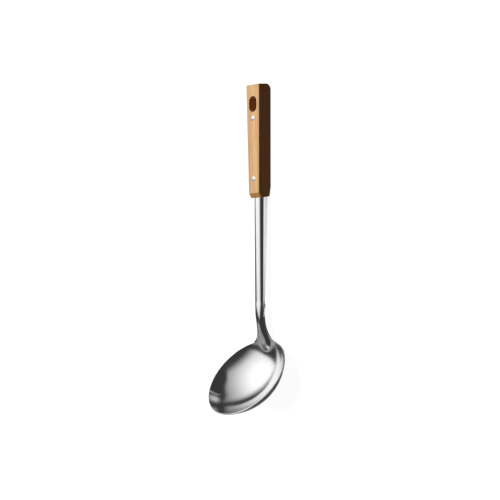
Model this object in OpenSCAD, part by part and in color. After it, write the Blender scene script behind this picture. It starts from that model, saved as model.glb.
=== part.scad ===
// Wok ladle: bowl, neck, arched shaft and hidden tang pressed from one steel sheet,
// and a wooden handle held on the tang by two rivets.
// It lies as it rests: the bowl opens upward, the bowl's wall and the handle's back
// touch the plane z = 0, and the ladle runs along x from the bowl to the handle.

/* [Overall] */
// Length of the whole ladle, from the bowl's tip to the handle's far end
overall_length = 335; // [325:1:350]
// Length of the wooden handle
handle_length = 116.8; // [110:0.1:124]

/* [Bowl] */
// Width of the bowl across its rim
bowl_width = 95; // [90:1:100]
// Length of the bowl's rim, from the tip to the neck
bowl_length = 93; // [88:1:98]
// Outside depth of the bowl below its rim
bowl_depth = 23.6; // [22:0.2:26]
// Angle between the rim's plane and the plane that the ladle rests on
bowl_tilt = 38.25; // [36:0.25:40]
// Thickness of the steel sheet
sheet = 1.2; // [1:0.05:1.4]

/* [Neck] */
// Length of the neck, from the back of the rim to the start of the straight shaft
neck_length = 37.4; // [34:0.1:42]
// Part of the rim's back that the neck grows from, as a half span of the sheet
neck_span = 0.47; // [0.44:0.01:0.52]
// Angle by which the neck's edges turn to follow the rim
edge_turn = 86; // [80:1:88]
// Pull of the bowl's wall on the neck's middle line
wall_pull_middle = 20.2; // [17:0.2:25]
// Pull of the rim on the neck's edges
wall_pull_edge = 41.2; // [37:0.2:45]
// Pull of the shaft on the neck's middle line
shaft_pull_middle = 80; // [70:1:84]
// Pull of the shaft on the neck's edges
shaft_pull_edge = 36.1; // [32:0.1:40]
// Rise of the neck's edges above its middle line
edge_lift = 3.15; // [2.4:0.05:3.6]
// Half width that draws the rib in along the neck
waist = 4.3; // [4:0.1:5]

/* [Thumb on the bowl's wall] */
// Height of the rib where it ends as a rounded thumb on the wall
thumb_height = 3.8; // [3:0.1:4.2]
// Half width of the thumb's foot
thumb_half = 7.6; // [7:0.1:8.2]
// Length of the thumb's rounded end
thumb_length = 9.2; // [8:0.1:11]
// Straight part of the thumb inside the rim
thumb_straight = 1; // [0:0.1:2]
// Fullness of the thumb: 1 is full, 2 fades softly into the wall
thumb_power = 1.15; // [1:0.05:2]

/* [Shaft] */
// Width of the arched shaft at the neck
shaft_width_neck = 12.2; // [11:0.1:13]
// Width of the arched shaft at the handle
shaft_width_end = 14.6; // [14:0.1:15.2]
// Height of the arch at the neck
arch_height_neck = 4.9; // [4.4:0.1:5.4]
// Height of the arch at the handle
arch_height_end = 8.6; // [8:0.1:9]
// Height of the crown above the resting plane, at the neck
crown_neck = 14; // [13:0.1:15]
// Height of the crown above the resting plane, at the handle
crown_end = 13.1; // [12.6:0.1:13.5]
// Squareness of the arch: 2 is an ellipse, higher is squarer
arch_power = 2.4; // [2.2:0.1:3]

/* [Tang] */
// Length over which the sheet steps down from the arch to the flat tang
joggle_length = 12; // [10:0.5:15]
// Height of the flat tang's upper face
tang_level = 9; // [8.2:0.05:9.6]
// Wood left between the end of the mortise and the hanging slot
tang_web = 1.6; // [1.2:0.1:3]

/* [Handle] */
// Thickness of the handle
handle_thick = 17.1; // [16:0.1:18.5]
// Width of the handle just above the chamfer
handle_width_low = 15.2; // [15:0.1:17]
// Width of the handle at its far end
handle_width_top = 19.3; // [18:0.1:20.5]
// Wood beside the shaft on the end face
face_margin = 0.1; // [0.05:0.05:0.3]
// Wood above the shaft's crown on the end face
crown_margin = 0.7; // [0.5:0.1:1.2]
// Length of the chamfer above the end face
chamfer_length = 4.7; // [3.6:0.1:6]
// Amount by which the back tapers to the end face
back_taper = 1.75; // [1:0.05:2.2]
// Length of the taper on the back
back_taper_length = 11.8; // [9:0.1:14]
// Slant of the end face: how far its back edge stands above its front edge
face_slant = 1.5; // [0.5:0.1:2]
// Radius of the long edges
edge_round = 0.8; // [0.6:0.1:1.2]
// Radius between the back and the far end
heel_round = 6; // [4.5:0.1:7]
// Radius between the front and the far end
brow_round = 1; // [0.6:0.1:1.6]
// Angle by which the far end leans to the front
end_lean = 6; // [4:0.1:12]

/* [Hanging slot] */
// Width of the hanging slot
slot_width = 10.3; // [9:0.1:11]
// Length of the hanging slot
slot_length = 15.8; // [14:0.1:17]
// Distance of the slot's middle from the far end
slot_inset = 21.1; // [19.5:0.1:22]

/* [Rivets] */
// Diameter of the rivet's shank
rivet_shank = 4; // [3.6:0.1:4.4]
// Diameter of the rivet's head
rivet_head = 5.4; // [5:0.1:6]
// Height of the dome above the wood
dome_height = 0.45; // [0.3:0.05:0.7]
// Depth of the countersink
sink_depth = 0.8; // [0.6:0.1:1]
// Depth of the flush back head below the wood
back_recess = 0.1; // [0.05:0.05:0.2]
// Distance of the lower rivet from the end face
lower_rivet_from_face = 19.1; // [17:0.1:24]
// Distance of the upper rivet from the far end
upper_rivet_from_end = 35.5; // [34.6:0.1:38]

/* [Fits] */
// Gap between the tang and its mortise, on each side
mortise_gap = 0.15; // [0.1:0.05:0.25]
// Gap beyond the end of the tang
tang_end_gap = 0.4; // [0.2:0.1:0.6]
// Gap around a rivet's shank in the wood
shank_gap = 0.05; // [0.03:0.01:0.1]
// Gap around a rivet's shank in the tang
tang_hole_gap = 0.1; // [0.05:0.05:0.2]

/* [Hidden] */

// Grid of the pressed sheet: rows run from the bowl's tip to the end of the tang
bowl_rows = 30;
neck_rows = 20;
shaft_rows = 8;
joggle_rows = 8;
tang_rows = 2;
side_columns = 8;
middle_columns = 24;
round_facets = 64;
probe = 0.004;
over = 1;

rim_row = bowl_rows;
shaft_row = rim_row + neck_rows;
face_row = shaft_row + shaft_rows;
flat_row = face_row + joggle_rows;
last_row = flat_row + tang_rows;
last_column = 2 * side_columns + middle_columns;
tang_columns = middle_columns / 3;
tang_first = side_columns + tang_columns;
tang_span = neck_span / 3;

// Bowl: a cap of a sphere, drawn a little along or across, opening forward and up
outer_radius = (pow(bowl_width / 2, 2) + pow(bowl_depth, 2)) / (2 * bowl_depth);
inner_radius = outer_radius - sheet;
wall_angle = asin(bowl_width / 2 / outer_radius);
wall_lean = sheet * sin(wall_angle);
half_across = bowl_width / 2 - wall_lean;
half_along = bowl_length / 2 - wall_lean;
toward_tip = [-cos(bowl_tilt), 0, sin(bowl_tilt)];
opening = [sin(bowl_tilt), 0, cos(bowl_tilt)];
rim_x = bowl_length / 2 * cos(bowl_tilt) + sheet * cos(wall_angle) * sin(bowl_tilt);
rim_back_x = rim_x + half_along * cos(bowl_tilt);
rest_drop = -min([for (u = [-1 : 0.01 : 0]) (cap_point(u, 0) + sheet * cap_back(u, 0)).z]);

// Shaft, tang and handle along x
neck_end = rim_back_x + neck_length;
face_x = overall_length - handle_length;
leg_neck = crown_neck - arch_height_neck;
leg_end = crown_end - arch_height_end;
leg_slope = (leg_end - leg_neck) / (face_x - neck_end);
tang_half = shaft_width_end / 2 * pow(sin(90 * tang_span / neck_span), 2 / arch_power);
joggle_end = face_x + joggle_length;
slot_x = overall_length - slot_inset;
mortise_end = slot_x - slot_length / 2 - tang_web;
tang_end = mortise_end - tang_end_gap;
upper_rivet_x = overall_length - upper_rivet_from_end;
lower_rivet_x = face_x + lower_rivet_from_face;
face_top = crown_end + crown_margin;
slant = face_slant / (face_top - back_taper);

function unit(v) = v / norm(v);
function blend(a, b, t) = a + (b - a) * t;
function ease(t) = t * t * (3 - 2 * t);
function swell(reach, power) = pow(1 - pow(min(reach, 1), arch_power), power);

// Column j as a place v across the sheet, and the same held inside a half span
function across(j) = j < side_columns
    ? -1 + (1 - neck_span) * j / side_columns
    : j > side_columns + middle_columns
    ? 1 - (1 - neck_span) * (last_column - j) / side_columns
    : neck_span * (2 * (j - side_columns) / middle_columns - 1);
function held(v, span) = max(-span, min(span, v));

// Bowl: a and b run from -1 to 1 along and across the rim
function cap_drop(r) = sqrt(pow(inner_radius, 2) - pow(half_across * r, 2))
    - inner_radius * cos(wall_angle);
function cap_point(a, b) = [rim_x, half_across * b, 0] + half_along * a * toward_tip
    - cap_drop(norm([a, b])) * opening;
function cap_back(a, b) = unit(cross(
    cap_point(a + probe, b) - cap_point(a - probe, b),
    cap_point(a, b + probe) - cap_point(a, b - probe)));

// Thumb: the rib's rounded end, raised on the wall just inside the rim
function thumb_reach(p) = norm([
    p.y / thumb_half,
    max(rim_back_x - p.x - thumb_straight, 0) / thumb_length]);
function bowl_point(a, b) = let (p = cap_point(a, b))
    p + [0, 0, rest_drop + thumb_height * swell(thumb_reach(p), thumb_power)];
function bowl_back(a, b) = unit(cross(
    bowl_point(a + probe, b) - bowl_point(a - probe, b),
    bowl_point(a, b + probe) - bowl_point(a, b - probe)));

// A square grid laid on the round rim: u along, v across
function disc_a(u, v) = u * sqrt(1 - v * v / 2);
function disc_b(u, v) = v * sqrt(1 - u * u / 2);

// Shaft: half a rounded arch, slanted at its end to meet the wood
function arch_side(v) = sign(v) * pow(abs(sin(90 * v / neck_span)), 2 / arch_power);
function arch_rise(v) = pow(max(cos(90 * v / neck_span), 0), 2 / arch_power);
function shaft_point(x, v) = let (
    k = (x - neck_end) / (face_x - neck_end),
    crown = blend(crown_neck, crown_end, k),
    rise = blend(arch_height_neck, arch_height_end, k),
    z = crown - rise + rise * arch_rise(v))
    [x + k * slant * (face_top - z), blend(shaft_width_neck, shaft_width_end, k) / 2 * arch_side(v), z];

// Neck: a curve per column that leaves the rim along the bowl's wall, turned along
// the rim toward the edges, and runs into the shaft; the rib is raised on top
function rim_radial(v) = disc_a(-1, v) * toward_tip + [0, disc_b(-1, v), 0];
function rim_tangent(v) = disc_b(-1, v) * toward_tip - [0, disc_a(-1, v), 0];
function wall_way(v) = rim_radial(v) * cos(wall_angle) + opening * sin(wall_angle);
function neck_start(v) = cap_point(disc_a(-1, v), disc_b(-1, v)) + [0, 0, rest_drop];
function neck_leave(v) = let (
    edge = abs(v) / neck_span,
    turn = edge_turn * pow(edge, 1.5))
    blend(wall_pull_middle, wall_pull_edge, edge)
    * (cos(turn) * wall_way(v) - sign(v) * sin(turn) * rim_tangent(v));
function neck_arrive(v) = blend(shaft_pull_middle, shaft_pull_edge, abs(v) / neck_span)
    * [1, 0, leg_slope];
function neck_finish(v) = [neck_end, shaft_width_neck / 2 * arch_side(v), leg_neck];
function neck_base(t, v) = (2 * pow(t, 3) - 3 * pow(t, 2) + 1) * neck_start(v)
    + (pow(t, 3) - 2 * pow(t, 2) + t) * neck_leave(v)
    + (3 * pow(t, 2) - 2 * pow(t, 3)) * neck_finish(v)
    + (pow(t, 3) - pow(t, 2)) * neck_arrive(v);
function rib_half(t) = pow(1 - t, 2) * thumb_half + 2 * t * (1 - t) * waist
    + pow(t, 2) * shaft_width_neck / 2;
function neck_point(t, v) = let (
    p = neck_base(t, v),
    s = ease(t),
    rib = blend(thumb_height, arch_height_neck, s),
    power = blend(thumb_power, 1 / arch_power, s),
    lift = edge_lift * pow(v / neck_span, 2) * sin(180 * t))
    p + [0, 0, rib * swell(abs(p.y) / rib_half(t), power) + lift];

// Tang: the arch's middle strip, stepped down to a flat
function tang_point(row, v) = let (
    step = min(row - face_row, joggle_rows) / joggle_rows,
    run = max(row - flat_row, 0) / tang_rows,
    start = shaft_point(face_x, v),
    s = ease(step))
    [blend(blend(start.x, joggle_end, step), tang_end, run), start.y, blend(start.z, tang_level, s)];

function straight_x(row) = blend(neck_end, face_x, (row - shaft_row) / shaft_rows);
function sheet_front(row, v) = row <= rim_row
    ? let (u = 1 - 2 * row / bowl_rows) bowl_point(disc_a(u, v), disc_b(u, v))
    : row <= shaft_row
    ? neck_point((row - rim_row) / neck_rows, held(v, neck_span))
    : row <= face_row
    ? shaft_point(straight_x(row), held(v, neck_span))
    : tang_point(row, held(v, tang_span));

// Unit direction from the sheet's front to its back
function slope_back(row, v, span, low, high) = unit(cross(
    sheet_front(row, held(v + probe, span)) - sheet_front(row, held(v - probe, span)),
    sheet_front(min(row + probe, high), v) - sheet_front(max(row - probe, low), v)));
function sheet_back(row, v) = row <= rim_row
    ? let (u = 1 - 2 * row / bowl_rows) bowl_back(disc_a(u, v), disc_b(u, v))
    : row <= shaft_row
    ? slope_back(row, held(v, neck_span), neck_span, rim_row + probe, shaft_row)
    : row <= face_row
    ? slope_back(row, held(v, neck_span), neck_span, shaft_row + probe, face_row)
    : slope_back(row, held(v, tang_span), tang_span, face_row + probe, last_row);

// Which cells of the grid hold steel
function filled(k, j) = k < 0 || k >= last_row || j < 0 || j >= last_column ? false
    : k < rim_row ? true
    : k < face_row ? j >= side_columns && j < side_columns + middle_columns
    : j >= tang_first && j < tang_first + tang_columns;
function front_id(k, j) = k * (last_column + 1) + j;
function back_id(k, j) = front_id(k, j) + (last_row + 1) * (last_column + 1);
function quad(a, b, c, d, turned) = turned ? [[a, b, d], [b, c, d]] : [[a, b, c], [a, c, d]];
function wall(k1, j1, k2, j2) = [
    [front_id(k1, j1), front_id(k2, j2), back_id(k2, j2)],
    [front_id(k1, j1), back_id(k2, j2), back_id(k1, j1)]];
function cell_faces(k, j) = let (turned = (k < bowl_rows / 2) != (j < last_column / 2)) concat(
    quad(front_id(k, j), front_id(k, j + 1), front_id(k + 1, j + 1), front_id(k + 1, j), turned),
    quad(back_id(k, j), back_id(k + 1, j), back_id(k + 1, j + 1), back_id(k, j + 1), turned),
    filled(k, j - 1) ? [] : wall(k, j, k + 1, j),
    filled(k, j + 1) ? [] : wall(k + 1, j + 1, k, j + 1),
    filled(k - 1, j) ? [] : wall(k, j + 1, k, j),
    filled(k + 1, j) ? [] : wall(k + 1, j, k + 1, j + 1));

module pressed_sheet() {
    fronts = [for (k = [0 : last_row]) for (j = [0 : last_column]) sheet_front(k, across(j))];
    backs = [for (k = [0 : last_row]) for (j = [0 : last_column])
        fronts[front_id(k, j)] + sheet * sheet_back(k, across(j))];
    faces = [for (k = [0 : last_row - 1]) for (j = [0 : last_column - 1])
        if (filled(k, j)) each cell_faces(k, j)];
    polyhedron(points = concat(fronts, backs), faces = faces, convexity = 10);
}

module ladle_body() {
    color("#c9ccd1") translate([-overall_length / 2, 0, 0]) difference() {
        pressed_sheet();
        for (x = [upper_rivet_x, lower_rivet_x])
            translate([x, 0, tang_level - sheet - over])
                cylinder(d = rivet_shank + 2 * tang_hole_gap, h = sheet + 2 * over, $fn = round_facets);
    }
}

// Handle: rounded rectangles, each between a point on the back and one on the front
function handle_half(x) = blend(handle_width_low, handle_width_top,
    (x - face_x - chamfer_length) / (handle_length - chamfer_length)) / 2;
function ring(back, front, half, round) = let (
    rise = norm(front - back),
    up = (front - back) / rise)
    [for (c = [0 : 3]) for (i = [0 : 4]) let (
        turn = 90 * c + 90 * i / 4,
        side = c == 0 || c == 3 ? 1 : -1,
        end = c < 2 ? 1 : -1,
        y = side * (half - round) + round * cos(turn),
        h = rise / 2 + end * (rise / 2 - round) + round * sin(turn),
        p = back + h * up)
        [p[0], y, p[1]]];

heel = [overall_length - heel_round, heel_round];
brow = [heel[0] + (heel_round - brow_round
    - (handle_thick - brow_round - heel_round) * sin(end_lean)) / cos(end_lean),
    handle_thick - brow_round];
end_steps = 8;
function end_ring(i) = let (
    t = i / end_steps,
    low = -90 + (90 + end_lean) * t,
    high = 90 - (90 - end_lean) * t,
    back = heel + heel_round * [cos(low), sin(low)],
    front = brow + brow_round * [cos(high), sin(high)])
    ring(back, front, handle_half(heel[0] + heel_round * t) - brow_round * (1 - sqrt(1 - pow(t, 4))),
        edge_round);
taper_x = face_x + back_taper_length;
chamfer_x = face_x + chamfer_length;
taper_start = face_x + face_slant;
chamfer_back = back_taper * (taper_x - chamfer_x) / (taper_x - taper_start);
face_half = shaft_width_end / 2 + face_margin;
face_round = edge_round / 2;
handle_rings = concat(
    [ring([taper_start, back_taper], [face_x, face_top], face_half, face_round),
    ring([chamfer_x, chamfer_back], [chamfer_x, handle_thick], handle_half(chamfer_x), edge_round),
    ring([taper_x, 0], [taper_x, handle_thick], handle_half(taper_x), edge_round)],
    [for (i = [0 : end_steps]) end_ring(i)]);
ring_size = len(handle_rings[0]);
ring_last = len(handle_rings) - 1;

module handle_blank() {
    points = [for (r = handle_rings) each r];
    sides = [for (k = [0 : ring_last - 1]) for (i = [0 : ring_size - 1]) let (
        n = (i + 1) % ring_size,
        a = k * ring_size + i,
        b = k * ring_size + n)
        each quad(a, a + ring_size, b + ring_size, b, false)];
    low_end = [for (i = [0 : ring_size - 1]) i];
    high_end = [for (i = [ring_size - 1 : -1 : 0]) ring_last * ring_size + i];
    polyhedron(points = points, faces = concat(sides, [low_end, high_end]), convexity = 4);
}

module hanging_slot() {
    reach = slot_length / 2 - slot_width / 2;
    for (side = [-1, 1])
        translate([slot_x + side * reach, 0, -over])
            cylinder(d = slot_width, h = handle_thick + 2 * over, $fn = round_facets);
    translate([slot_x - reach, -slot_width / 2, -over])
        cube([2 * reach, slot_width, handle_thick + 2 * over]);
}

// The same cone shapes the wood's countersink and the rivet's head
module rivet_bore(x) {
    translate([x, 0, -over])
        cylinder(d = rivet_shank + 2 * shank_gap, h = handle_thick + 2 * over, $fn = round_facets);
    translate([x, 0, 0])
        cylinder(d1 = rivet_head, d2 = rivet_shank, h = sink_depth, $fn = round_facets);
    translate([x, 0, handle_thick - sink_depth])
        cylinder(d1 = rivet_shank, d2 = rivet_head, h = sink_depth, $fn = round_facets);
}

// Room in the wood for the joggle and for the flat tang
module mortise() {
    half = tang_half + mortise_gap;
    floor_z = tang_level - sheet - mortise_gap;
    translate([face_x - over, -half, floor_z])
        cube([over + joggle_length + mortise_gap, 2 * half, crown_end + mortise_gap - floor_z]);
    translate([face_x, -half, floor_z])
        cube([mortise_end - face_x, 2 * half, sheet + 2 * mortise_gap]);
}

module handle() {
    color("#d9ae78") translate([-overall_length / 2, 0, 0]) difference() {
        handle_blank();
        hanging_slot();
        rivet_bore(upper_rivet_x);
        rivet_bore(lower_rivet_x);
        mortise();
    }
}

// Rivet: flush cone on the back, plain shank, cone and low dome on the front
module rivet(x) {
    shank = rivet_shank / 2;
    head = rivet_head / 2;
    back_head = blend(head, shank, back_recess / sink_depth);
    dome_radius = (pow(head, 2) + pow(dome_height, 2)) / (2 * dome_height);
    dome_span = asin(head / dome_radius);
    dome_steps = 6;
    dome = [for (i = [0 : dome_steps]) let (turn = dome_span * (1 - i / dome_steps))
        [dome_radius * sin(turn), handle_thick + dome_height - dome_radius * (1 - cos(turn))]];
    color("#dfe1e4") translate([x - overall_length / 2, 0, 0]) rotate_extrude($fn = round_facets)
        polygon(concat(
            [[0, back_recess], [back_head, back_recess], [shank, sink_depth],
            [shank, handle_thick - sink_depth]],
            dome));
}

module upper_rivet() {
    rivet(upper_rivet_x);
}

module lower_rivet() {
    rivet(lower_rivet_x);
}

ladle_body();
handle();
upper_rivet();
lower_rivet();
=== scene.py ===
import logging
import math
from collections.abc import Callable
from dataclasses import dataclass
from enum import Enum
from typing import NamedTuple

import bpy
import numpy as np
from mathutils import Matrix, Vector


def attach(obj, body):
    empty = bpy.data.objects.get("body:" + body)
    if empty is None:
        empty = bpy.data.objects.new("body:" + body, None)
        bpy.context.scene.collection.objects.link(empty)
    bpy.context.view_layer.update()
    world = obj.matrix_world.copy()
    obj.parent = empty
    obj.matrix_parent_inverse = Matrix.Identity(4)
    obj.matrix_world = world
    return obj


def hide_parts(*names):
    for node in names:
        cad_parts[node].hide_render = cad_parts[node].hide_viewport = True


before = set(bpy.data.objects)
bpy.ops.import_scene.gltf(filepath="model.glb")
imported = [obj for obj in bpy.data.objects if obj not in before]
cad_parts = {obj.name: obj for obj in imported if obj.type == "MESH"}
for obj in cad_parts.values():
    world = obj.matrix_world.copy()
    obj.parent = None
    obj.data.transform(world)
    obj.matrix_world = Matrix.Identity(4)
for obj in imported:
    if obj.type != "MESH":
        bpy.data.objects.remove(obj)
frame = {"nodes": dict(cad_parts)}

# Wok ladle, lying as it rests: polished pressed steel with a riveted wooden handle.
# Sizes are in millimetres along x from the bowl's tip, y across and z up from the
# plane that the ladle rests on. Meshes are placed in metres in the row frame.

LOG = logging.getLogger("wok_ladle")
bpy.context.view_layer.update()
Triple = tuple[float, float, float]


class Part(Enum):
    """The CAD nodes that the pieces here stand for."""

    LADLE_BODY = "ladle_body"
    HANDLE = "handle"
    UPPER_RIVET = "upper_rivet"
    LOWER_RIVET = "lower_rivet"


class Slot(Enum):
    """The record's material slots."""

    STEEL = "steel"
    WOOD = "wood"
    RIVET_STEEL = "rivet_steel"


def unit(v: np.ndarray) -> np.ndarray:
    """Scales the vectors in the last axis to length one."""
    return v / np.maximum(np.linalg.norm(v, axis=-1, keepdims=True), 1e-12)


def blend(a: float | np.ndarray, b: float | np.ndarray, t: float | np.ndarray) -> float | np.ndarray:
    """Moves from a to b as t goes from 0 to 1."""
    return a + (b - a) * t


def ease(t: float | np.ndarray) -> float | np.ndarray:
    """A smooth step from 0 to 1 with level ends: 3t^2 - 2t^3."""
    t = np.clip(t, 0.0, 1.0)
    return t * t * (3 - 2 * t)


@dataclass(frozen=True)
class Frame:
    """How millimetres along the ladle become metres in the row frame.

    Args:
        overall_length: Length of the whole ladle, in millimetres.
    """

    overall_length: float = 335.0

    def place(self, points: np.ndarray) -> np.ndarray:
        """Moves the middle of the ladle to x = 0 and turns millimetres into metres."""
        return (points - np.array([self.overall_length / 2, 0.0, 0.0])) / 1000.0


def make_mesh(
    name: str,
    points: np.ndarray,
    faces: list[np.ndarray],
    material: bpy.types.Material,
    normals: np.ndarray | None = None,
) -> bpy.types.Object:
    """Puts points and faces into a smooth mesh object at the origin.

    Args:
        name: Name of the piece.
        points: Corners in metres, one row each.
        faces: Arrays of faces, each with one face per row.
        material: The piece's finish.
        normals: Unit normals at the corners, where they are known exactly.

    Returns:
        The new object, linked to the scene.
    """
    loops = np.concatenate([f.ravel() for f in faces]).astype(np.int32)
    sizes = np.concatenate([np.full(len(f), f.shape[1], np.int32) for f in faces])
    starts = np.concatenate([[0], np.cumsum(sizes)[:-1]]).astype(np.int32)
    mesh = bpy.data.meshes.new(name)
    mesh.vertices.add(len(points))
    mesh.vertices.foreach_set("co", points.astype(np.float32).ravel())
    mesh.loops.add(len(loops))
    mesh.loops.foreach_set("vertex_index", loops)
    mesh.polygons.add(len(sizes))
    mesh.polygons.foreach_set("loop_start", starts)
    mesh.polygons.foreach_set("use_smooth", np.ones(len(sizes), bool))
    mesh.update(calc_edges=True)
    mesh.validate()
    if normals is not None:
        mesh.normals_split_custom_set_from_vertices(normals.astype(np.float32).tolist())
    mesh.materials.append(material)
    obj = bpy.data.objects.new(name, mesh)
    bpy.context.scene.collection.objects.link(obj)
    return obj


def tube(rings: np.ndarray) -> np.ndarray:
    """Faces between closed rings of corner numbers, each ring joined to the one after it."""
    nxt = np.roll(rings, -1, 1)
    return np.stack([rings[:-1], nxt[:-1], nxt[1:], rings[1:]], -1).reshape(-1, 4)


def paint(obj: bpy.types.Object, name: str, values: np.ndarray) -> None:
    """Keeps a value for each corner in a named attribute that a material reads."""
    attribute = obj.data.attributes.new(name, "FLOAT", "POINT")
    attribute.data.foreach_set("value", values.astype(np.float32).ravel())


def stand_for(obj: bpy.types.Object, part: Part) -> bpy.types.Object:
    """Lets a piece take a CAD node's place on the ladle's one body.

    Args:
        obj: The finished piece.
        part: The CAD node that it stands for.

    Returns:
        The same object.
    """
    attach(obj, "root")
    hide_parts(part.value)
    return obj


class Nodes:
    """A small helper that adds nodes to one material and joins them."""

    def __init__(self, name: str) -> None:
        """Makes the material with an empty node tree and an output.

        Args:
            name: Name of the material.
        """
        self.material = bpy.data.materials.new(name)
        self.material.use_nodes = True
        self.tree = self.material.node_tree
        self.tree.nodes.clear()
        self.output = self.tree.nodes.new("ShaderNodeOutputMaterial")

    def add(self, kind: str, **settings: str) -> bpy.types.Node:
        """Adds a node and sets its own properties.

        Args:
            kind: Blender's name for the kind of node.
            settings: Property names and their values.

        Returns:
            The new node.
        """
        node = self.tree.nodes.new(kind)
        for key, value in settings.items():
            setattr(node, key, value)
        return node

    def put(self, kind: str, **sockets: object) -> bpy.types.Node:
        """Adds a node and sets its inputs, or joins them where the value is an output socket.

        Args:
            kind: Blender's name for the kind of node.
            sockets: Input names, with spaces written as underscores, and their values.

        Returns:
            The new node.
        """
        node = self.add(kind)
        for key, value in sockets.items():
            socket = node.inputs[key.replace("_", " ")]
            if isinstance(value, bpy.types.NodeSocket):
                self.tree.links.new(value, socket)
            else:
                socket.default_value = value
        return node

    def ramp(
        self, factor: bpy.types.NodeSocket, stops: list[tuple[float, Triple]]
    ) -> bpy.types.NodeSocket:
        """Adds a colour ramp.

        Args:
            factor: What the ramp reads.
            stops: Pairs of position and colour.

        Returns:
            The ramp's colour output.
        """
        node = self.add("ShaderNodeValToRGB")
        while len(node.color_ramp.elements) < len(stops):
            node.color_ramp.elements.new(0.5)
        for element, (position, colour) in zip(node.color_ramp.elements, stops):
            element.position = position
            element.color = (*colour, 1.0)
        self.tree.links.new(factor, node.inputs["Fac"])
        return node.outputs["Color"]

    def multiply(
        self, first: bpy.types.NodeSocket, second: bpy.types.NodeSocket, share: float
    ) -> bpy.types.NodeSocket:
        """Multiplies two colours.

        Args:
            first: The colour that is changed.
            second: The colour that it is multiplied by.
            share: How much of the change is kept, from 0 to 1.

        Returns:
            The node's colour output.
        """
        node = self.add("ShaderNodeMix", data_type="RGBA", blend_type="MULTIPLY")
        inputs = {socket.identifier: socket for socket in node.inputs}
        inputs["Factor_Float"].default_value = share
        self.tree.links.new(first, inputs["A_Color"])
        self.tree.links.new(second, inputs["B_Color"])
        outputs = {socket.identifier: socket for socket in node.outputs}
        return outputs["Result_Color"]

    def surface(self, shader: bpy.types.NodeSocket) -> bpy.types.Material:
        """Joins a shader to the surface and returns the finished material."""
        self.tree.links.new(shader, self.output.inputs["Surface"])
        return self.material


@dataclass(frozen=True)
class PolishedSteel:
    """Mirror-polished stainless steel with faint polishing marks.

    Args:
        name: Name of the finish.
        colour: Colour of the mirror.
        roughness: How far the polish blurs what it mirrors.
        spread: Least and most of the roughness, as shares of it.
        mark_depth: Depth of the polishing marks, in metres.
    """

    name: str = "polished_steel"
    colour: Triple = (0.82, 0.82, 0.82)
    roughness: float = 0.12
    spread: tuple[float, float] = (0.8, 1.3)
    mark_depth: float = 0.000004

    def make(self) -> bpy.types.Material:
        """Builds the material: a metal whose roughness wanders a little, with a very low swell.

        Returns:
            The material.
        """
        n = Nodes(self.name)
        where = n.add("ShaderNodeTexCoord").outputs["Object"]
        cloud = n.put("ShaderNodeTexNoise", Vector=where, Scale=60.0, Detail=2.0)
        rough = n.put(
            "ShaderNodeMapRange",
            Value=cloud.outputs["Fac"],
            From_Min=0.3,
            From_Max=0.7,
            To_Min=self.roughness * self.spread[0],
            To_Max=self.roughness * self.spread[1],
        )
        lift = cloud.outputs["Fac"]
        bump = n.put("ShaderNodeBump", Height=lift, Strength=0.3, Distance=self.mark_depth)
        shader = n.put(
            "ShaderNodeBsdfPrincipled",
            Base_Color=(*self.colour, 1.0),
            Metallic=1.0,
            Roughness=rough.outputs["Result"],
            Normal=bump.outputs["Normal"],
        )
        return n.surface(shader.outputs["BSDF"])


@dataclass(frozen=True)
class LightWood:
    """Light, close-grained wood: fine streaks along x, short flecks and a dry oil finish, with painted
    shade that darkens the faces turned away from up.

    Args:
        name: Name of the finish.
        light: Colour of the early wood.
        deep: Colour of the streaks.
        end_grain_and_shade: What is left of the colour where the surface turns part way from up: partly
            the chamfer's cut grain darkened under the oil, partly painted shade on the rounded edges.
        shaded: Painted shade on the handle's sides and in the slot, where the surface faces sideways.
        roughness: How matt the oiled surface is.
    """

    name: str = "light_wood"
    light: Triple = (0.66, 0.42, 0.215)
    deep: Triple = (0.50, 0.285, 0.125)
    end_grain_and_shade: Triple = (0.74, 0.64, 0.39)
    shaded: Triple = (0.84, 0.53, 0.21)
    roughness: float = 0.5

    def make(self) -> bpy.types.Material:
        """Builds the material: stretched noise for the streaks, thinner noise for the flecks, and painted
        shade from a ramp on the turned attribute.

        Returns:
            The material.
        """
        n = Nodes(self.name)
        where = n.add("ShaderNodeTexCoord").outputs["Object"]
        broad = n.put("ShaderNodeMapping", Vector=where, Scale=(9.0, 330.0, 330.0))
        streak = n.put(
            "ShaderNodeTexNoise",
            Vector=broad.outputs["Vector"],
            Scale=1.0,
            Detail=4.0,
            Roughness=0.6,
            Distortion=0.25,
        )
        fine = n.put("ShaderNodeMapping", Vector=where, Scale=(60.0, 2600.0, 2600.0))
        fleck = n.put(
            "ShaderNodeTexNoise",
            Vector=fine.outputs["Vector"],
            Scale=1.0,
            Detail=2.0,
            Roughness=0.5,
        )
        base = n.ramp(streak.outputs["Fac"], [(0.34, self.deep), (0.62, self.light)])
        marks = n.ramp(fleck.outputs["Fac"], [(0.30, (0.78, 0.72, 0.66)), (0.48, (1.0, 1.0, 1.0))])
        # Painted shade: the colour darkens as the surface turns from up (1 - nz^2). It is golden on the
        # chamfer and rounded edges, where the cut grain under the oil is also darker, and deep brown on
        # the sides and in the slot.
        turned = n.add("ShaderNodeAttribute", attribute_name="turned")
        stops = [(0.03, (1.0, 1.0, 1.0)), (0.25, self.end_grain_and_shade), (0.95, self.shaded)]
        tone = n.ramp(turned.outputs["Fac"], stops)
        grained = n.multiply(base, marks, 0.7)
        toned = n.multiply(grained, tone, 1.0)
        lift = fleck.outputs["Fac"]
        bump = n.put("ShaderNodeBump", Height=lift, Strength=0.25, Distance=0.00006)
        shader = n.put(
            "ShaderNodeBsdfPrincipled",
            Base_Color=toned,
            Roughness=self.roughness,
            Normal=bump.outputs["Normal"],
            Specular_IOR_Level=0.3,
        )
        return n.surface(shader.outputs["BSDF"])


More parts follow.
